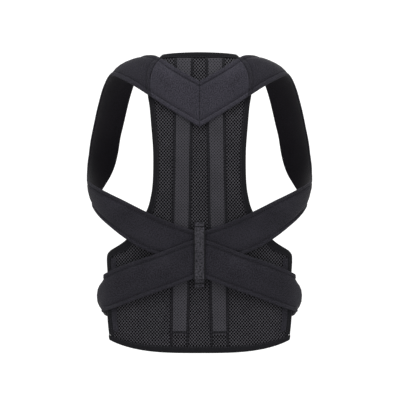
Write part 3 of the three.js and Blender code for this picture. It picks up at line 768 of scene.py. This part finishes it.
POCKET_DEEP = np.array([0, 0.0001, -0.00018, -0.0007, 0])
SEAM_ACROSS = np.array([-0.5, -0.42, -0.25, 0, 0.25, 0.42, 0.5]) * SEAM_TAPE_WIDE
for word, side in SIDES.items():
    def from_middle(flat, height, side=side):
        down = panel_down(flat, height)
        return side * flat - pocket_middle(down), down

    def pocket_kept(flat, height):
        across, down = from_middle(flat, height)
        in_width = np.abs(across) < POCKET_WIDTH / 2 - POCKET_PITCH[0] / 2
        return in_width & (down > BINDING_DOWN + NET_TOP) & (down < POCKET_END - NET_FOOT)

    def pocket_point(flat, height, deep):
        across, _ = from_middle(flat, height)
        lift = np.where(deep == 4, POCKET_LIFT, pocket_top(across) + POCKET_DEEP[deep])
        return lifted(back_point(flat, height), lift)

    pocket = open_net(
        f"{word}_pocket_mesh", (NET_REACH, PANEL_RISE, PANEL_RISE - BACK_LENGTH), POCKET_PITCH,
        pocket_kept, lambda flat, height: np.zeros(len(flat), bool), pocket_point,
        POCKET_HOLE, [pocket_thread, pocket_hole_painted_shade, pocket_hole_painted_shade])
    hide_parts(f"{word}_stay_pocket")
    down = np.linspace(BINDING_DOWN + SEAM_TOP, 1 - BINDING_DOWN - SEAM_FOOT, SEAM_STEPS)
    sunk = ramp(*SEAM_SINKS, down)[:, None] * POCKET_THICK * 0.5
    half = rounded(SEAM_TAPE_WIDE / 2 - np.abs(SEAM_ACROSS), SEAM_TAPE_ROLL) * SEAM_TAPE_THICK / 2
    seams = []
    for edge in (-1, 1):
        middle = pocket_middle(down) + edge * (POCKET_WIDTH / 2 - SEAM_TAPE_WIDE / 2)
        flats = middle[:, None] + SEAM_ACROSS
        base = panel_point(side * flats, np.broadcast_to(down[:, None], flats.shape))
        seams.append((base, POCKET_LIFT + POCKET_THICK * 0.5 + SEAM_TAPE_RISE - sunk))
    across = np.linspace(-0.5, 0.5, FOOT_STEPS)[:, None] * FOOT_WIDE
    foot_down = POCKET_END + (SEAM_ACROSS - SEAM_TAPE_WIDE / 2) / BACK_LENGTH
    foot_down = np.broadcast_to(foot_down, (FOOT_STEPS, len(SEAM_ACROSS)))
    base = panel_point(side * (pocket_middle(POCKET_END) + across), foot_down)
    seams.append((base, pocket_top(across) + FOOT_RISE))
    sewn = [swept(f"{word}_pocket_seam_{n}", strip_rings(base, height - half, height + half), [tape]) for n, (base, height) in enumerate(seams)]
    lines = [lifted(base[:, 3], height[:, 0] + SEAM_TAPE_THICK / 2 + THREAD_RISE) for base, height in seams]
    sewn.append(stitches(f"{word}_pocket_stitches", lines))

# Yokes and shoulder straps: knitted cloth over thin foam with a dark brushed lining, hemmed along
# both edges. The yokes meet at the centre of the back; a curved, topstitched seam joins each to
# its strap, which goes over the shoulder, under the arm and back to the small of the back.
YOKE_WIDTH = 0.058
STRAP_WIDTH = 0.052
UNDERARM_PINCH = 0.014
YOKE_NARROWS = (0.050, 0.130)
UNDERARM = (0.370, 0.610)
YOKE_START = 0.090
STRAP_THICK = 0.0026
STRAP_GAP = 0.0009
STRAP_LIFT = max(POCKET_LIFT + POCKET_THICK, BINDING_TOP) + STRAP_GAP
SEAM_SLANT = 0.010
SEAM_BOW = 0.0093
SEAM_PLACE = 0.545
STRAP_ROLL = 0.0013
HEM = 0.0058
HEM_RISE = 0.0005
GROOVE = 0.0014
GROOVE_WIDE = 0.0009
PAD_RISE = 0.0016
PAD_SLOPE = 0.010
THREAD_END = 0.002
SEAM_BAND = 0.0066
STRAP_STEP = 0.0032
YOKE_CLEAR = (0.010, 0.010)
SHOULDER_CLEAR = (0.014, 0.160)

# The yokes' cloth is the straps' cloth painted lighter: painted light, where the yokes face up towards the
# top lights.
yoke_cloth_painted_light = knit_finish("yoke_cloth_painted_light", (0.0050, 0.0046, 0.0072), (0.038, 0.036, 0.047), 0.0011, 0.9, 0.86,
                         sheen=0.02, grain=0.62)
lining = knit_finish("strap_lining", (0.0032, 0.0027, 0.0040), (0.0090, 0.0077, 0.0108), 0.0016,
                     0.4, 0.95, sheen=0.03)

# turn: degrees round the form. level: as in FORM. Both are for the wearer's left.
SHOULDER_ROUTE = table("turn level", [
    (278.7, 0.213), (270.0, 0.170), (257.9, 0.120), (237.5, 0.071), (213.0, 0.047), (178.0, 0.047),
    (150.0, 0.082), (144.0, 0.165), (143.5, 0.265), (145.5, 0.352), (166.0, 0.430), (194.0, 0.474),
    (220.0, 0.523), (250.2, 0.598), (270.0, 0.656), (276.5, 0.684),
])


def curve_points(knots, at):
    """Points on a smooth curve through knots: at runs from 0 to the number of spans."""
    knots = np.concatenate([[2 * knots[0] - knots[1]], knots, [2 * knots[-1] - knots[-2]]])
    i = np.clip(at.astype(int), 0, len(knots) - 4)
    t = (at - i)[:, None]
    before, start, end, after = (knots[i + n] for n in range(4))
    gap = [np.linalg.norm(b - a, axis=1, keepdims=True) ** 0.5
           for a, b in ((before, start), (start, end), (end, after))]
    leave = (start - before) / gap[0] - (end - before) / (gap[0] + gap[1]) + (end - start) / gap[1]
    arrive = (end - start) / gap[1] - (after - start) / (gap[1] + gap[2]) + (after - end) / gap[2]
    leave, arrive = leave * gap[1], arrive * gap[1]
    return (start + leave * t + (3 * (end - start) - 2 * leave - arrive) * t ** 2
            + (2 * (start - end) + leave + arrive) * t ** 3)


class Ribbon:
    """A strap's path over the form. It gives the form's point a distance along the centre line
    and a share across, from -1 at one edge to 1 at the other."""

    def __init__(self, route, width_at):
        knots = form_point(route["turn"], -route["level"] * BACK_LENGTH)
        spans = len(knots) - 1
        fine = np.linspace(0, spans, 801)
        steps = np.linalg.norm(np.diff(curve_points(knots, fine), axis=0), axis=1)
        walked = np.concatenate([[0], np.cumsum(steps)])
        self.length = walked[-1]
        self.width_at = width_at
        self.places = np.linspace(0, self.length, round(self.length / 0.003) + 1)
        at = np.interp(self.places, walked, fine)
        self.centres = curve_points(knots, at)
        step = 0.0001 * spans
        beyond, before = np.minimum(at + step, spans), np.maximum(at - step, 0)
        ahead = curve_points(knots, beyond) - curve_points(knots, before)
        normals = form_normal(self.centres)
        self.normals = form_normal(drop_on_form(self.centres, normals))
        self.sides = unit(np.cross(unit(ahead), self.normals))

    def at(self, along, across):
        along, across = np.broadcast_arrays(along, across)
        place = np.clip(along, 0, self.length)
        blend = lambda rows: np.stack([np.interp(place, self.places, rows[:, n]) for n in range(3)], -1)
        reach = (across * self.width_at(along) / 2)[..., None]
        return drop_on_form(blend(self.centres) + blend(self.sides) * reach, unit(blend(self.normals)))

    def where(self, across, near, far, past):
        """The distance along, at shares across, where past(points) turns from false to true."""
        near, far = np.full(len(across), near), np.full(len(across), far)
        for _ in range(22):
            middle = (near + far) / 2
            over = past(self.at(middle, across))
            far = np.where(over, middle, far)
            near = np.where(over, near, middle)
        return near


def shoulder_width(along):
    narrowed = ramp(*YOKE_NARROWS, along)
    middle = sum(UNDERARM) / 2
    pinched = ramp(UNDERARM[0], middle, along) - ramp(middle, UNDERARM[1], along)
    return YOKE_WIDTH + (STRAP_WIDTH - YOKE_WIDTH) * narrowed - UNDERARM_PINCH * pinched


def over_centre(points):
    return points[..., 0] > -SEAM_GAP / 2


shoulder = Ribbon(SHOULDER_ROUTE, shoulder_width)


def yoke_start(across):
    return shoulder.where(across, YOKE_START, 0, over_centre)


def strap_end(across):
    return shoulder.where(across, shoulder.length - YOKE_START, shoulder.length, over_centre)


def shoulder_lift(along, across):
    return np.full(along.shape, STRAP_LIFT)


seam_centre = yoke_start(np.array([0.0]))[0] + SEAM_PLACE * BODY_WIDTH / 2


def seam_at(across):
    return seam_centre + SEAM_SLANT * across - SEAM_BOW * across ** 2


def hem_relief(distance, band):
    """How far cloth stands out at a distance from an edge: a turned band, then a sewn groove."""
    rise = HEM_RISE * (1 - ramp(band - 0.0004, band + 0.0004, distance))
    return rise - GROOVE * np.exp(-((distance - band) / GROOVE_WIDE) ** 2)


def edge_shares(width):
    """Shares across a strap, close together at its rounded edges and at its hems' grooves."""
    from_edge = np.array([0, 0.00012, 0.0004, 0.0008, 0.0013, 0.0030, HEM - 0.0012, HEM - 0.0006,
                          HEM - 0.0003, HEM, HEM + 0.0003, HEM + 0.0006, HEM + 0.0014, 0.012, 0.018])
    half = 1 - from_edge / (width / 2)
    return np.concatenate([-half, [0], half[::-1]])


def along_shares(start_band, end_band, length):
    """Distances along a strap, close together at its ends and at its seams' grooves."""
    close = np.array([0, 0.00012, 0.0004, 0.0008, 0.0013, 0.0028])
    groove = np.array([-0.0010, -0.0005, -0.00025, 0, 0.00025, 0.0005, 0.0010])
    start = np.concatenate([close, start_band + groove]) if start_band else close
    end = np.concatenate([close, end_band + groove]) if end_band else close
    steps = np.arange(start[-1] + STRAP_STEP, length - end[-1] - STRAP_STEP / 2, STRAP_STEP)
    return np.concatenate([start, steps, length - end[::-1]])


def soft_waves(along, across, seed):
    """Low creases that worn cloth has, fading out at its hems."""
    waves = sum(
        amount * np.sin(along * 2 * math.pi / length + across * lean + seed * turn)
        for amount, length, lean, turn in ((0.00020, 0.061, 1.9, 1.0), (0.00014, 0.037, -2.7, 2.3),
                                           (0.00010, 0.023, 3.4, 0.7)))
    return waves * (1 - across ** 4)


def strap_piece(name, ribbon, ends_at, lift_at, side, bands, clear, seed, cloth=strap_cloth):
    """A strap's closed cloth and its stitches. bands: its topstitched bands at the start and end.
    clear: the lengths at the start and end over which its padding thins, where straps cross."""
    shares = edge_shares(STRAP_WIDTH)
    starts, ends = (end_at(shares) for end_at in ends_at)
    middle = len(shares) // 2
    length = ends[middle] - starts[middle]
    walk = along_shares(*bands, length) / length
    along = starts + (ends - starts) * walk[:, None]
    across = np.broadcast_to(shares, along.shape)
    base = ribbon.at(along, across)
    low = lift_at(along, across)
    edge = (1 - np.abs(across)) * STRAP_WIDTH / 2
    from_ends = (walk * length, (1 - walk) * length)
    full = rounded(edge, STRAP_ROLL) * rounded(np.minimum(*from_ends), STRAP_ROLL)[:, None]
    thinned = np.prod([ramp(far / 2, far, distance) for far, distance in zip(clear, from_ends)], axis=0)
    relief = hem_relief(edge, HEM) + PAD_RISE * ramp(HEM, HEM + PAD_SLOPE, edge) * thinned[:, None]
    for band, distance in zip(bands, from_ends):
        if band:
            relief = relief + hem_relief(distance, band)[:, None]
    relief = relief + soft_waves(along, across, seed)
    middle_lift = low + STRAP_THICK / 2
    rings = strip_rings(base, middle_lift - full * STRAP_THICK / 2,
                        middle_lift + full * (STRAP_THICK / 2 + relief), np.array([-side, 1, 1]))
    columns = len(shares)
    over = rings[:, :columns - 1:-1]
    finish_at = [1] * (columns - 1) + [0] * (columns + 1)
    piece = swept(name, rings, [cloth, lining], finish_at)
    groove = int(np.argmin(np.abs(edge[0][: middle] - HEM)))
    inside = np.minimum(*from_ends) > THREAD_END
    lines = [over[inside][:, groove], over[inside][:, columns - 1 - groove]]
    for band, distance in zip(bands, from_ends):
        if band:
            row = int(np.argmin(np.abs(distance - band)))
            lines.append(over[row, 3:-3])
    sewn = stitches(name + "_stitches", lines)
    return piece, sewn, length


# The seam's turned allowance, pressed flat behind it
ALLOWANCE_WIDE = 0.010
ALLOWANCE_THICK = 0.0005
ALLOWANCE_DEEP = 0.0004
ALLOWANCE_ROLL = 0.0006
ALLOWANCE_ACROSS = np.array([-0.5, -0.48, -0.44, 0, 0.44, 0.48, 0.5]) * ALLOWANCE_WIDE
SEAM_SHARES = np.linspace(-0.97, 0.97, 25)

for word, side in SIDES.items():
    yoke, sewn, length = strap_piece(
        f"{word}_yoke_cloth_painted_light", shoulder, (yoke_start, lambda a: seam_at(a) - SEAM_GAP / 2), shoulder_lift,
        side, (0, 0), YOKE_CLEAR, 2.0 + side, yoke_cloth_painted_light)
    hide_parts(f"{word}_yoke")
    strap, sewn, length = strap_piece(
        f"{word}_shoulder_cloth", shoulder, (lambda a: seam_at(a) + SEAM_GAP / 2, strap_end), shoulder_lift,
        side, (SEAM_BAND, 0), SHOULDER_CLEAR, 4.0 + side)
    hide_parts(f"{word}_shoulder_strap")
    base = shoulder.at(seam_at(SEAM_SHARES) + ALLOWANCE_ACROSS[:, None], SEAM_SHARES[None])
    half = rounded(ALLOWANCE_WIDE / 2 - np.abs(ALLOWANCE_ACROSS), ALLOWANCE_ROLL) * ALLOWANCE_THICK / 2
    middle = STRAP_LIFT - ALLOWANCE_DEEP
    rings = strip_rings(base, middle - half[:, None], middle + half[:, None], np.array([-side, 1, 1]))
    allowance = swept(f"{word}_seam_allowance", rings, [lining])

# Waist straps: the same padded cloth. They lie over the shoulder straps' ends at the centre of
# the back and go round to the front, where the left end laps over the right one.
WAIST_STRAP_WIDTH = 0.054
WAIST_LIFT = STRAP_LIFT + STRAP_THICK + STRAP_GAP
WAIST_CROWN = 0.010
WAIST_TUCK = 0.002
WAIST_OVERLAP = 0.045
END_ROUND = 0.010
SIDE_LIFT = 0.001
HOOK_THICK = 0.0012
WAIST_START = 0.060
WAIST_AT_EDGE = 0.8
PANEL_EDGE_WIDE = 0.002
WAIST_ROUTE = table("turn level", [
    (275.0, 0.655), (270.0, 0.675), (257.0, 0.725), (235.3, 0.763), (207.0, 0.797), (180.0, 0.814),
    (150.0, 0.828), (120.0, 0.845), (90.0, 0.855), (66.0, 0.855),
])
# Where its lift changes: shares of its width from the centre, lengths past the panel's edge, and
# lengths before the under strap's end
CROSSING = (1.45, 2.3)
TUCK_LENGTH = 0.020
FRONT = (0.060, 0.140)
LAP = (0.060, 0.012)
WAIST_BAND = 0.008
WAIST_CLEAR = (0.055, 0.140)

waist = Ribbon(WAIST_ROUTE, lambda along: np.full(np.shape(along), WAIST_STRAP_WIDTH))


def waist_start(across):
    return waist.where(across, WAIST_START, 0, over_centre)


centre_share = np.array([0.0])
waist_zero = waist_start(centre_share)[0]
front_centre = waist.where(centre_share, waist.length / 2, waist.length, lambda p: p[..., 0] >= 0)[0]
flare_edge = panel_point(-panel_half(WAIST_AT_EDGE), WAIST_AT_EDGE)
edge_across = np.linspace(-1, 1, 41)
edge_along = waist.where(edge_across, waist_zero, waist.length / 2,
                         lambda p: p[..., 1] >= flare_edge[1]) + PANEL_EDGE_WIDE


def waist_end(across):
    return front_centre + WAIST_OVERLAP - END_ROUND * (1 - np.sqrt(np.maximum(1 - across ** 4, 0)))


def waist_lift(lap):
    def lift(along, across):
        crossed = (along - waist_zero) / WAIST_STRAP_WIDTH
        back = WAIST_LIFT + (STRAP_LIFT - WAIST_LIFT) * ramp(*CROSSING, crossed)
        edge = np.interp(across, edge_across, edge_along)
        side_lift = WAIST_CROWN - (WAIST_CROWN + WAIST_TUCK) * across ** 2
        side = back + (side_lift - back) * ramp(edge, edge + TUCK_LENGTH, along)
        under_end = front_centre - WAIST_OVERLAP
        lapped = ramp(under_end - LAP[0], under_end - LAP[1], along)
        front = SIDE_LIFT + lap * (STRAP_THICK + HOOK_THICK + 2 * STRAP_GAP) * lapped
        return side + (front - side) * ramp(edge + FRONT[0], edge + FRONT[1], along)
    return lift


for (word, side), lap in zip(SIDES.items(), (1, 0)):
    strap, sewn, length = strap_piece(
        f"{word}_waist_cloth", waist, (waist_start, waist_end), waist_lift(lap), side,
        (0, WAIST_BAND), WAIST_CLEAR, 7.0 + side)
    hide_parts(f"{word}_waist_strap")

# Hook patch: hook tape sewn to the inner face of the left waist strap's end, which grips the right
# one. It is hidden between the two laps.
HOOK_LENGTH = 0.060
HOOK_WIDTH = 0.042
HOOK_ROLL = 0.0005
hook_tape = knit_finish("hook_tape", (0.008, 0.008, 0.009), (0.020, 0.020, 0.022), 0.0012, 1.0, 0.55)
hook_share = HOOK_WIDTH / WAIST_STRAP_WIDTH
hook_across = np.array([-1, -0.985, -0.9, -0.5, 0, 0.5, 0.9, 0.985, 1]) * hook_share
hook_along = np.linspace(front_centre - HOOK_LENGTH / 2, front_centre + HOOK_LENGTH / 2, 30)[:, None]
base = waist.at(hook_along, hook_across[None])
hook_middle = SIDE_LIFT + STRAP_THICK + STRAP_GAP + HOOK_THICK / 2
half = rounded((hook_share - np.abs(hook_across)) * WAIST_STRAP_WIDTH / 2, HOOK_ROLL) * HOOK_THICK / 2
rings = strip_rings(base, hook_middle - half, hook_middle + half)
hook_patch = swept("hook_patch", rings, [hook_tape])
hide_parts("front_hook_patch")

# Keeper loop: a short length of ribbed webbing over the crossing of the four straps, folded under
# and sewn to the panel above and below it.
LOOP_WIDTH = 0.017
LOOP_THICK = 0.0016
LOOP_REACH = 0.008
LOOP_TAB = 0.006
LOOP_TACK = 0.0022
LOOP_LIFT = WAIST_LIFT + STRAP_THICK + STRAP_GAP
LOOP_FOLD = 0.0012
LOOP_ROLL = 0.0007
LOOP_SHADE = 0.85


lower_edge = np.array([-1.0])
crossing_top = shoulder.at(strap_end(lower_edge), lower_edge)[0, 2]
crossing_bottom = waist.at(waist_start(lower_edge) + LOOP_WIDTH / 2, lower_edge)[0, 2]
loop_top = crossing_top + LOOP_REACH + LOOP_TAB
loop_bottom = crossing_bottom - LOOP_REACH - LOOP_TAB
LOOP_HEIGHTS = [loop_top, loop_top - LOOP_TAB, loop_top - LOOP_TAB - LOOP_REACH / 2, crossing_top - 0.001,
                crossing_bottom - 0.001, loop_bottom + LOOP_TAB + LOOP_REACH / 2, loop_bottom + LOOP_TAB,
                loop_bottom]
LOOP_LIFTS = [POCKET_LIFT, POCKET_LIFT, (POCKET_LIFT + LOOP_LIFT) / 2 + 0.001, LOOP_LIFT, LOOP_LIFT,
              (POCKET_LIFT + LOOP_LIFT) / 2 + 0.001, POCKET_LIFT, POCKET_LIFT]
loop_rows = np.linspace(loop_top, loop_bottom, 150)
loop_lift = np.interp(-loop_rows, -np.array(LOOP_HEIGHTS), LOOP_LIFTS)
loop_lift = np.convolve(np.pad(loop_lift, 3, mode="edge"), np.ones(7) / 7, mode="valid")
loop_across = np.array([-1, -0.985, -0.95, -0.88, -0.7, -0.35, 0, 0.35, 0.7, 0.88, 0.95, 0.985, 1])
loop_end = np.minimum(loop_top - loop_rows, loop_rows - loop_bottom)
folded = LOOP_FOLD * (1 - ramp(LOOP_TAB - 0.0008, LOOP_TAB + 0.0008, loop_end))
full = rounded((1 - np.abs(loop_across)) * LOOP_WIDTH / 2, LOOP_ROLL)
full = full * rounded(loop_end, LOOP_ROLL)[:, None]
base = back_point(loop_across[None] * LOOP_WIDTH / 2, loop_rows[:, None])
middle = (loop_lift + LOOP_THICK / 2)[:, None]
rings = strip_rings(base, middle - full * LOOP_THICK / 2, middle + full * (LOOP_THICK / 2 + folded[:, None]))
over = rings[:, :len(loop_across) - 1:-1]
LOOP_LONG = float(np.linalg.norm(np.diff(rings.mean(axis=1), axis=0), axis=1).sum())


def near(wire, place, reach):
    """1 where the wire is within half the reach of a place, falling to 0 at the whole reach."""
    offset = wire - place
    return 1 - offset.maths("ABSOLUTE", offset).between(reach / 2, reach)


def loop_painted_shade(u, v):
    """Painted shade: dark along the webbing's two edges and at its two fold lines, where shade falls."""
    edges = near(u, LOOP_WIDTH + LOOP_THICK, 0.0024) + near(u, 2 * LOOP_WIDTH + LOOP_THICK, 0.0024)
    ends = near(v, LOOP_TAB, 0.0014) + near(v, LOOP_LONG - LOOP_TAB, 0.0014)
    return 1 - (edges + ends) * LOOP_SHADE


# The webbing's colour carries painted shade along its two edges and at its two fold lines.
webbing = knit_finish("webbing", (0.0010, 0.0010, 0.0014), (0.052, 0.050, 0.060), 0.0015,
                      1.0, 0.7, ribs=(1.0, 0.7), grain=0.6, painted_shade=loop_painted_shade)

loop = swept("keeper_loop", rings, [webbing])
tack_heights = [end + turn * reach for end, turn in ((loop_top, -1), (loop_bottom, 1))
                for reach in (LOOP_TACK, LOOP_TAB)]
tacks = [over[int(np.argmin(np.abs(height - loop_rows))), 2:-2] for height in tack_heights]
sewn = stitches("keeper_loop_stitches", tacks)
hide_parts("centre_loop")

boxes = {"cad": cad_box, "visual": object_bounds()}
boxes = {name: [list(map(float, corner)) for corner in box] for name, box in boxes.items()}
